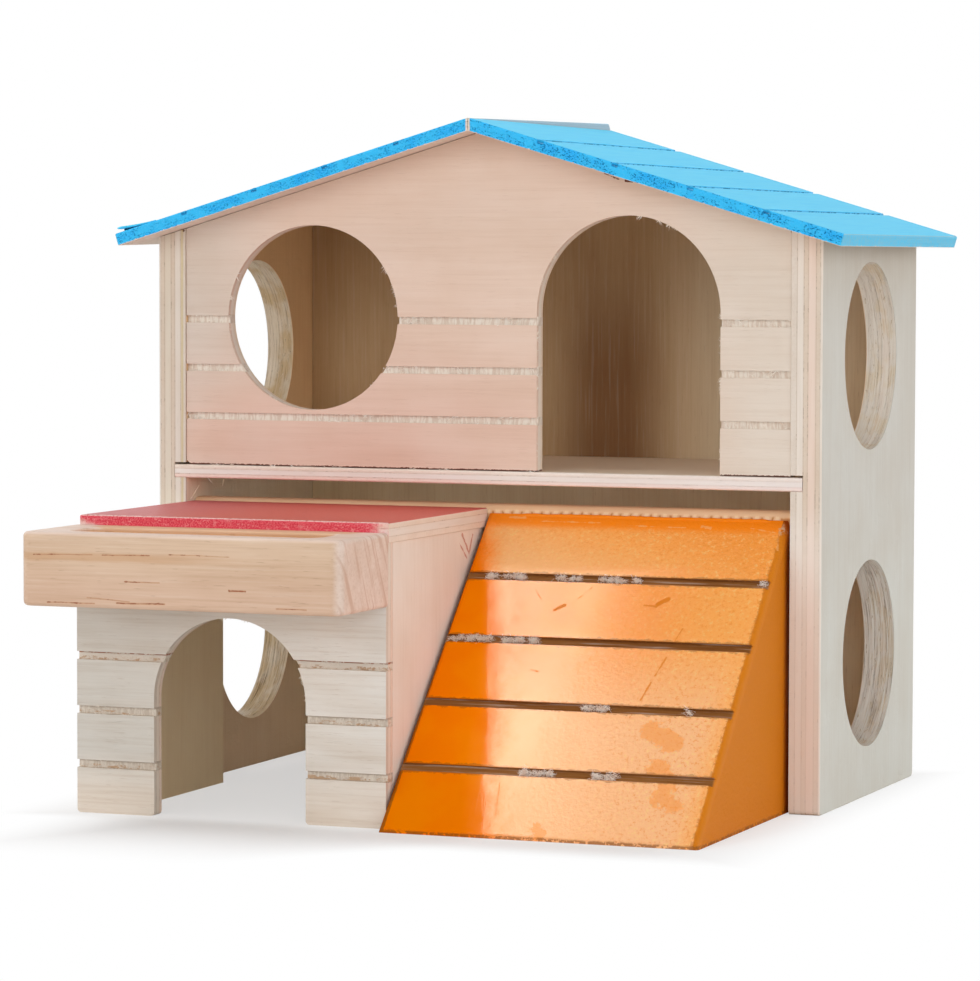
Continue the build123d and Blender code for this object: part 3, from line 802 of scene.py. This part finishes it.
def lacquer(name):
    """The ramp's orange lacquer, with its wear, painted highlights and painted shade, on the ramp or on a
    piece that rides on it.
    """
    f = Finish(name, specular=0.9, tint=(255, 236, 204))
    up = (f.y - RAMP_TOE_Y) * RAMP_COS + (f.z - RAMP_TOE_Z) * RAMP_SIN
    under = (f.y - RAMP_TOE_Y) * RAMP_SIN - (f.z - RAMP_TOE_Z) * RAMP_COS
    raw, relief = wood(f, f.x, up, under, (150, 100, 54), 5.5, figure=1.0)
    swell = f.noise(0.12, 1)
    pebble = f.noise(1.25, (1, 7, 1), 4, 0.65)
    scuff = f.noise(0.5, (6, 2, 1), 4, 0.7)
    glints = f.noise(1.3, (8, 3, 1), 4, 0.7)

    groove = nearest_groove(up + (pebble - 0.5) * 0.3, *RAMP_GROOVES)
    cut = groove.step(1.12, 1.02) * (under > 0.2) * (under < 0.75) * f.x.step(65.0, 64.4)
    chipped = (groove + (scuff - 0.5) * 2.0).step(1.4, 1.15) * (under < 0.3)
    beside = (f.x + (scuff - 0.5) * 0.9).step(RAMP_RIGHT - 1.4, RAMP_RIGHT - 1.1)
    top_board, crest = up.step(64, 66), up.step(77, 79.5)

    # The lamps' reflection ends at a slanting edge: left of it the lacquer is matt and deep orange,
    # and right of it its colour holds painted highlights.
    edge = f.x + up * 0.274 + up.step(44, 0) * 3.6 + (swell - 0.5) * 4 + (pebble - 0.5) * 3
    outside_reflection = edge.step(28, 20)
    # Towards the right and on the top board the lacquer is pebbled, and its colour carries a painted
    # sheen.
    uneven_and_sheen = f.x.step(22, 60).most(up.step(64, 70) * 0.9)
    # Masks of painted highlights: the lamps' reflection, its foot and the top board.
    painted_sheen = (edge.step(24, 32) * up.step(45, 15) * 0.7).most(edge.step(30, 48) * 0.5)
    foot = edge.step(24, 32) * up.step(52, 24)
    foot_highlight = f.cover((255, 172, 110), (255, 188, 132), f.x.step(26, 40))
    top_board_highlight = (f.x + (up - 64) * 2.2).step(64, 14) * top_board * (1 - outside_reflection)

    marks = strokes(f, f.x, up, SCRATCHES + CHIPS, (scuff - 0.5) * 0.9)
    dragged = strokes(f, f.x, up, DRAGS, (pebble - 0.5) * 0.2)
    smeared = strokes(f, f.x, up, SMEARS, (scuff - 0.5) * 6.0)
    rubbed_and_highlit = strokes(f, f.x, up, WORN_AND_HIGHLIT, (scuff - 0.5) * 1.4)
    toe = (f.z + scuff * 0.8).step(1.3, 0.8) * pebble.step(0.4, 0.5)
    left = (f.x + (f.z - 59) * 0.0085 + (pebble - 0.5) * 0.5).step(0.75, 0.5)
    corner = (abs(f.x - 64.4) + abs(up - 79.4) * 0.6 + scuff * 2).step(2.2, 1.2)
    speckled = abs(f.x - 64.2).step(0.6, 0.2) * pebble.step(0.5, 0.56)
    colour = f.coats(
        (254, 127, 0),
        ((255, 134, 0), swell.step(0.4, 0.65)),
        # Painted highlights and glints where the lamps mirror in the lacquer, fading to deep orange at the
        # top board's upper right.
        ((255, 168, 74), uneven_and_sheen.most(painted_sheen) * (1 - outside_reflection)),
        (foot_highlight, foot * (1 - outside_reflection) * f.x.step(66, 58) * 0.9),
        ((255, 192, 126), top_board_highlight * 0.8),
        ((250, 146, 20), (f.x + (up - 64) * 1.5).step(46, 76) * top_board * 0.7),
        ((255, 206, 122), glints.step(0.54, 0.66) * uneven_and_sheen * (1 - outside_reflection) * 0.6),
        ((240, 134, 4), glints.step(0.47, 0.36) * uneven_and_sheen * (1 - top_board_highlight) * 0.55),
        ((255, 136, 8), crest * 0.9),
        # Painted shade at the lower left, outside the reflection.
        ((245, 247, 255), up.step(30, 8) * outside_reflection, STAIN),
        # The right side is painted a darker orange, as painted shade, and darkest where it meets the wall,
        # as painted shadow.
        ((220, 128, 24), beside),
        ((150, 66, 14), f.y.step(-2.4, 0.4) * beside),
        ((228, 124, 12), marks * 0.85),
        ((252, 146, 30), smeared * 0.5),
        ((252, 190, 122), rubbed_and_highlit * 0.5),
        ((206, 116, 26), speckled * 0.6),
        ((150, 84, 24), (toe * 0.8).most(left * 0.85).most(chipped * 0.5)),
        ((216, 176, 140), corner * pebble.step(0.46, 0.54)),
        (raw, cut),
    )
    roughness = 0.05 + uneven_and_sheen * 0.14 + smeared * 0.12 + scuff.step(0.4, 0.7) * 0.05 + rubbed_and_highlit * 0.3
    bumps = swell * 0.3 + pebble * (uneven_and_sheen * 2.4 + 0.03) - marks * 0.2 + dragged * 0.12 + relief * cut
    matt = (beside * 0.75).most(cut).most(marks * 0.85).most(smeared * 0.3).most(left).most(outside_reflection * 0.96)
    second_board = up.step(47, 52) * up.step(67, 63)
    matt = matt.most(second_board * edge.step(26, 40) * 0.3).most(crest * 0.75)
    matt = matt.most(edge.step(24, 30) * edge.step(62, 48) * 0.16)
    return f.apply(colour, roughness, bumps, 0.1, matt)


lacquer("ramp")

# %% [markdown]
# ## Fine pieces
# A saw leaves thin fibres standing along every cut, and lint catches in the ramp's grooves. All are
# strands: rings of points swept along a line, joined by quads and closed at both ends. Their scatter
# comes from one seeded generator, so each run gives the same house.

# %% Strand builder
rng = np.random.default_rng(7)


def columns(*coordinates):
    """Points, from arrays or numbers for their coordinates."""
    return np.stack(np.broadcast_arrays(*coordinates), -1)


def swept(lines, radii, sides=4, flat=1.0, level=(0.31, 0.52, 0.79)):
    """Points and quads of closed tubes about lines (N, M, 3), in mm, with radii (N, M).

    Ring point k is centre + radius * (flat * cos(a) * side + sin(a) * other), where a is 2 pi k / sides,
    side is tangent x level and other is tangent x side.
    """
    tangent = np.gradient(lines, axis=1)
    side = np.cross(tangent, level)
    other = np.cross(tangent, side)
    side, other = (v / np.linalg.norm(v, axis=2, keepdims=True) for v in (side, other))
    turn = np.arange(sides) * 2 * np.pi / sides
    ring = flat * side[:, :, None] * np.cos(turn)[:, None] + other[:, :, None] * np.sin(turn)[:, None]
    points = lines[:, :, None] + ring * radii[:, :, None, None]
    index = np.arange(points.size // 3).reshape(points.shape[:3])
    here, there = index[:, :-1], index[:, 1:]
    quads = np.stack([here, np.roll(here, -1, 2), np.roll(there, -1, 2), there], -1).reshape(-1, 4)
    caps = [index[:, 0, ::-1].reshape(-1, sides), index[:, -1].reshape(-1, sides)]
    return points.reshape(-1, 3), quads.tolist() + np.concatenate(caps).tolist()


def piece(name, lines, radii, finish, slot_name, *shape):
    """A mesh object that rides on the house, swept along lines in millimetres."""
    points, faces = swept(lines, radii, *shape)
    mesh = bpy.data.meshes.new(name)
    mesh.from_pydata((points * MM).tolist(), [], faces)
    mesh.polygons.foreach_set("use_smooth", np.ones(len(faces), bool))
    mesh.materials.append(finish.material)
    made = bpy.data.objects.new(name, mesh)
    bpy.context.scene.collection.objects.link(made)
    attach(made, "root")
    print(name, len(faces), "faces")


def strands(roots, heading, lengths, thickness, curl):
    """Tapering strands: at share t one is at root + length * (t * heading + t squared * a bend)."""
    share = np.linspace(0, 1, 5)[None, :, None]
    bend = rng.normal(size=(len(roots), 1, 3)) * curl
    reach = lengths[:, None, None] * (share * heading[:, None] + share**2 * bend)
    taper = np.array([1.0, 0.95, 0.8, 0.55, 0.2]) * thickness
    return roots[:, None] + reach, np.tile(taper, (len(roots), 1)) * rng.uniform(0.6, 1.2, (len(roots), 1))


def bare_fibre(name, base, tip):
    """Matt wood of two tones, for strands."""
    f = Finish(name, specular=0.15)
    mottle = f.noise(0.9)
    return f.apply(f.cover(base, tip, mottle.step(0.38, 0.62)), 0.8 + mottle * 0.1, mottle, 0.02)


print("strand builder ready")

# %% [markdown]
# The facade has torn fibres on both lips of each groove, round its openings and along the seam at its
# foot, nearly flat on the face.

# %% Torn fibres of the facade
WINDOW, WINDOW_RADIUS = (-37.8, 99.0), 19.25
DOOR_LEFT, DOOR_RIGHT, DOOR_SPRING = 12.2, 51.6, 100.49
DOOR_X, DOOR_RADIUS = (DOOR_LEFT + DOOR_RIGHT) / 2, (DOOR_RIGHT - DOOR_LEFT) / 2


def scattered(count, low, high):
    """count random numbers between low and high, drawn in bunches."""
    bunch = rng.uniform(low, high, max(1, count // 5))
    return np.clip(rng.choice(bunch, count) + rng.normal(size=count) * (high - low) * 0.012, low, high)


def lip_fibres(face_y, grooves, half, low, high, count):
    """Roots and headings of fibres on both lips of level grooves in a front face."""
    heights = groove_heights(*grooves)
    x = np.concatenate([scattered(count, low, high) for _ in heights])
    lip = rng.choice([-1, 1], len(x), p=[0.4, 0.6])
    z = np.repeat(heights, count) + lip * half
    roots = columns(x, face_y, z)
    slant = rng.uniform(-0.9, 0.9, len(x))
    sideways = np.cos(slant) * rng.choice([-1, 1], len(x))
    return roots, columns(sideways, -rng.uniform(0, 0.16, len(x)), -lip * abs(np.sin(slant)))


def joined(*groups):
    """The roots and the headings of all these groups."""
    return (np.concatenate(part) for part in zip(*groups))


def rim_fibres(face_y, centre, radius, start, end, count):
    """Roots and headings of fibres on a round edge from angle start to end, pointing inwards."""
    angle = scattered(count, start, end)
    out = columns(np.cos(angle), 0, np.sin(angle))
    roots = np.array([centre[0], face_y, centre[1]]) + out * radius
    heading = -out * rng.uniform(0.5, 1, (count, 1)) + rng.normal(size=(count, 3)) * (0.4, 0.08, 0.4)
    return roots, heading


rim_y = FACADE_FRONT + 0.09
roots, heading = lip_fibres(FACADE_FRONT + 0.07, FACADE_GROOVES, 0.76, -66, 66, 90)
in_window = np.hypot(roots[:, 0] - WINDOW[0], roots[:, 2] - WINDOW[1]) < WINDOW_RADIUS
in_door = (roots[:, 0] > DOOR_LEFT) & (roots[:, 0] < DOOR_RIGHT)
lips = roots[~in_window & ~in_door], heading[~in_window & ~in_door]
groups = [
    lips,
    rim_fibres(rim_y, WINDOW, WINDOW_RADIUS, -1.2, 0.9, 46),
    rim_fibres(rim_y, WINDOW, WINDOW_RADIUS, 2.6, 4.4, 30),
    rim_fibres(rim_y, (DOOR_X, DOOR_SPRING), DOOR_RADIUS, 0.05, 3.1, 46),
]
jamb_z = scattered(60, 69, DOOR_SPRING)
at_right = rng.choice([0, 1], 60)
jambs = columns(np.where(at_right, DOOR_RIGHT, DOOR_LEFT), rim_y, jamb_z)
groups.append((jambs, columns(np.where(at_right, -0.7, 0.7), 0, rng.uniform(-0.9, 0.9, 60))))
seam_x = scattered(46, -64, 12)
seam = columns(seam_x, FACADE_FRONT - 0.06, 68.0)
groups.append((seam, columns(rng.normal(size=46), -0.12, -rng.uniform(0.2, 0.9, 46))))
roots, heading = joined(*groups)
lengths = rng.uniform(0.4, 1.7, len(roots))
lengths[len(lips[0]):] *= 0.5
lines, radii = strands(roots, heading, lengths, 0.075, 0.25)
lines[..., 1] = np.clip(lines[..., 1], FACADE_FRONT - 0.28, None)
facade_fibre = bare_fibre("facade_fibre", (240, 222, 204), (255, 250, 240))
piece("facade_torn_fibres", lines, radii, facade_fibre, "facade_ply")

# %% Torn fibres of the porch
ARCH, ARCH_RADIUS = (-33.98, 23.7), 16.5

roots, heading = lip_fibres(PORCH_FRONT + 0.05, PORCH_GROOVES, 0.8, -67, -1, 60)
in_arch = abs(roots[:, 0] - ARCH[0]) < ARCH_RADIUS + 0.05
arch = rim_fibres(PORCH_FRONT + 0.09, ARCH, ARCH_RADIUS, 0.05, 3.1, 44)
roots, heading = joined((roots[~in_arch], heading[~in_arch]), arch)
lengths = rng.uniform(0.35, 1.5, len(roots))
lengths[-len(arch[0]):] *= 0.4
lines, radii = strands(roots, heading, lengths, 0.07, 0.25)
lines[..., 1] = np.clip(lines[..., 1], PORCH_FRONT - 0.11, None)
porch_fibre = bare_fibre("porch_fibre", (214, 196, 176), (238, 228, 214))
piece("porch_torn_fibres", lines, radii, porch_fibre, "porch_ply")

# %% Torn fibres of the side holes
HOLE_RADIUS, HOLE_Y, UPPER_HOLE_Z, LOWER_HOLE_Z = 19.36, 32.01, 91.51, 29.81
LEFT_UPPER_HOLE_Y = 33.81


def bore_fibres(low_x, high_x, centres, count):
    """Fibres that stand on the walls of level round holes and lean along them."""
    centre = np.array(centres)[rng.integers(0, len(centres), count)]
    angle = rng.uniform(0, 2 * np.pi, count)
    x = rng.uniform(low_x, high_x, count)
    out = columns(0, np.cos(angle), np.sin(angle))
    roots = columns(x, centre[:, 0], centre[:, 1]) + out * HOLE_RADIUS
    along = columns(0, -np.sin(angle), np.cos(angle))
    heading = along * rng.choice([-1, 1], (count, 1)) - out * rng.uniform(0.05, 0.5, (count, 1))
    return roots, heading


# The lower hole of the right wall is the roughest, so it is drawn twice as often.
upper, lower = (HOLE_Y, UPPER_HOLE_Z), (HOLE_Y, LOWER_HOLE_Z)
left = bore_fibres(-72.9, -67.2, [(LEFT_UPPER_HOLE_Y, UPPER_HOLE_Z), lower], 150)
right = bore_fibres(66.8, 72.9, [upper, lower, lower], 220)
roots, heading = joined(left, right)
lines, radii = strands(roots, heading, rng.uniform(0.4, 1.3, len(roots)), 0.07, 0.2)
bore_fibre = bare_fibre("bore_fibre", (206, 184, 150), (246, 234, 214))
piece("hole_torn_fibres", lines, radii, bore_fibre, "side_ply")

# %% [markdown]
# Three loose hairs stand by the left end of the shelf, and two on the edge of a side hole.

# %% Loose hairs
roots, ends = np.array([
    [(-65.9, -2.8, 60.3), (-63.6, -2.9, 63.6)],
    [(-61.7, -2.8, 64.9), (-60.6, -2.9, 63.9)],
    [(-58.2, -2.8, 64.9), (-58.4, -2.9, 63.4)],
    [(73.02, 12.9, 82.2), (73.05, 14.6, 80.6)],
    [(73.02, 12.4, 84.6), (72.8, 14.2, 81.6)],
]).swapaxes(0, 1)
lines, radii = strands(roots, ends - roots, np.ones(len(roots)), 0.06, 0.08)
piece("loose_hairs", lines, radii, bore_fibre, "side_ply")

# %% [markdown]
# The lint is bedding dust and fibres, felted into small puffs: bunches of curled strands that lie in
# a groove and don't reach through its floor.

# %% Lint in the grooves
LINT = [  # where it lies along each groove, from the highest one down
    [(5.1, 13.7), (20.4, 22.3), (22.9, 25.0), (28.9, 34.6), (36.2, 37.8), (63.2, 64.0)],
    [(1.8, 10.4), (12.7, 20.3)],
    [(33.9, 39.6), (55.6, 56.4)],
    [(24.4, 31.8), (40.4, 45.4)],
]
LINT_DENSITY = 80  # strands to a millimetre of groove
PUFF_STRANDS = 45
GROOVE_FLOOR = 0.58  # below the slope


def puffs(rise, start, end):
    """Offsets (x, up, out) of strands in round puffs along one groove."""
    count = int((end - start) * LINT_DENSITY)
    puff_count = 2 + count // PUFF_STRANDS
    middles = columns(rng.uniform(start, end, puff_count), rise + rng.normal(size=puff_count) * 0.25)
    chosen = middles[rng.integers(0, puff_count, count)]
    spread = rng.uniform(-0.4, 0.2, count), rng.normal(size=(count, 3)) * (0.38, 0.3, 0.08)
    return np.column_stack([chosen, spread[0]]) + spread[1]


runs = [(up, *run) for up, places in zip(groove_heights(*RAMP_GROOVES)[::-1], LINT) for run in places]
upwards = np.array([0, RAMP_COS, RAMP_SIN])
outwards = np.array([0, -RAMP_SIN, RAMP_COS])
toe_line = np.array([0, RAMP_TOE_Y, RAMP_TOE_Z])
along_groove, rise, depth = np.concatenate([puffs(*run) for run in runs]).T
roots = toe_line + rise[:, None] * upwards + depth[:, None] * outwards
roots[:, 0] = along_groove
heading = rng.normal(size=(len(roots), 3)) * (0.8, 0.4, 0.3)
lines, radii = strands(roots, heading, rng.uniform(0.2, 0.55, len(roots)), 0.055, 0.7)
below_floor = ((lines - toe_line) @ outwards + GROOVE_FLOOR).clip(None, 0)
lines = lines - below_floor[..., None] * outwards
lint = bare_fibre("lint", (250, 226, 208), (255, 244, 234))
piece("groove_lint", lines, radii, lint, "orange_lacquer")

# %% [markdown]
# Lacquer pools in beads along the crest and the toe of the ramp: wavering tubes, sunk for the most part
# into its edges.

# %% Lacquer beads
BEAD_POINTS = 160


def wavering(waves, strength):
    """A smooth random line: a sum of sines with random phases and falling amplitudes."""
    along = np.linspace(0, 2 * np.pi, BEAD_POINTS)
    phases = rng.uniform(0, 2 * np.pi, len(waves))
    return sum(np.sin(along * n + phase) / math.sqrt(n) for n, phase in zip(waves, phases)) * strength


share = np.linspace(0, 1, BEAD_POINTS)
fade = np.minimum(1, np.minimum(share, 1 - share) * 14)
crest = columns(5.0 + share * 59.2, 0.25, 58.62 + wavering((2, 5, 11, 23), 0.05))
crest_radii = (0.42 + wavering((7, 17, 31), 0.07)) * fade + 0.05
toe = columns(0.4 + share * 64.4, -57.0, 0.72 + wavering((3, 8, 19), 0.03))
toe_radii = (0.26 + wavering((13, 29, 43), 0.06)) * fade + 0.04
lacquer_bead = lacquer("lacquer_bead")
piece("crest_bead", crest[None], crest_radii[None], lacquer_bead, "orange_lacquer", 10)
piece("toe_bead", toe[None], toe_radii[None], lacquer_bead, "orange_lacquer", 10)

# %% [markdown]
# ## Paint in the roof's details
# Paint bridges the ends of the roof's grooves with a small skin. At the left eave a thin sliver of
# veneer curls up from the corner, and a dark strip behind it is the painted shadow in the gap under it.

# %% Paint skins and the lifted veneer
VENEER_START, VENEER_LENGTH, VENEER_RISE = -79.5, 9.0, 0.95
UPRIGHT = (0, 0, 1)


def roof_point(x, y, lift):
    """The point of the roof's painted face at x and y."""
    rise = (y - ROOF_FRONT) * lift / (ROOF_BACK - ROOF_FRONT)
    return columns(x, y, RIDGE + rise - abs(x) * math.tan(ROOF_PITCH))


blue_skin = roof_finish("roof_skin", LEFT_LIFT, 0.6, 3.9)
groove_x = np.arange(1, 5) * ROOF_GROOVE_PITCH * math.cos(ROOF_PITCH)
share = np.linspace(-1, 1, 7)
for name, side, lift in (("paint_skins_left", -1, LEFT_LIFT), ("paint_skins_right", 1, 0.0)):
    x = side * (groove_x[:, None] + share * 0.85)
    lines = roof_point(x, ROOF_FRONT + 0.42, lift)
    lines[..., 2] -= 0.26
    radii = np.tile(0.04 + 0.26 * np.sqrt(1 - 0.9 * share**2), (4, 1))
    piece(name, lines, radii, blue_skin, "blue_paint", 8, 1.9, UPRIGHT)

share = np.linspace(0, 1, 30)
sliver = roof_point(VENEER_START + share * VENEER_LENGTH, ROOF_FRONT + 0.9, LEFT_LIFT)
sliver[:, 2] += 0.12 + VENEER_RISE * (1 - share) ** 1.6
sliver_radii = 0.3 * np.sqrt(np.minimum(1, share * 9)) * (1 - 0.75 * share) + 0.03
piece("lifted_veneer", sliver[None], sliver_radii[None], blue_skin, "blue_paint", 10, 2.6, UPRIGHT)

# A dark strip behind the sliver: painted shadow in the gap under it.
x = -78.2 + share * 7.6
gap = VENEER_RISE * ((VENEER_START + VENEER_LENGTH - x) / VENEER_LENGTH) ** 1.6
painted_gap_shadow = roof_point(x, ROOF_FRONT + 1.9, LEFT_LIFT)
painted_gap_shadow[:, 2] += gap / 2
shade = Finish("painted_gap_shadow", specular=0.1)
shadow_mottle = shade.noise(2, 0, 3)
shadow_colour = shade.cover((10, 52, 72), (26, 92, 120), shadow_mottle.step(0.4, 0.65))
shade.apply(shadow_colour, 0.8, shadow_mottle, 0.05)
piece("painted_gap_shadow", painted_gap_shadow[None], (gap / 2 + 0.06)[None], shade, "blue_paint", 8, 0.8, UPRIGHT)
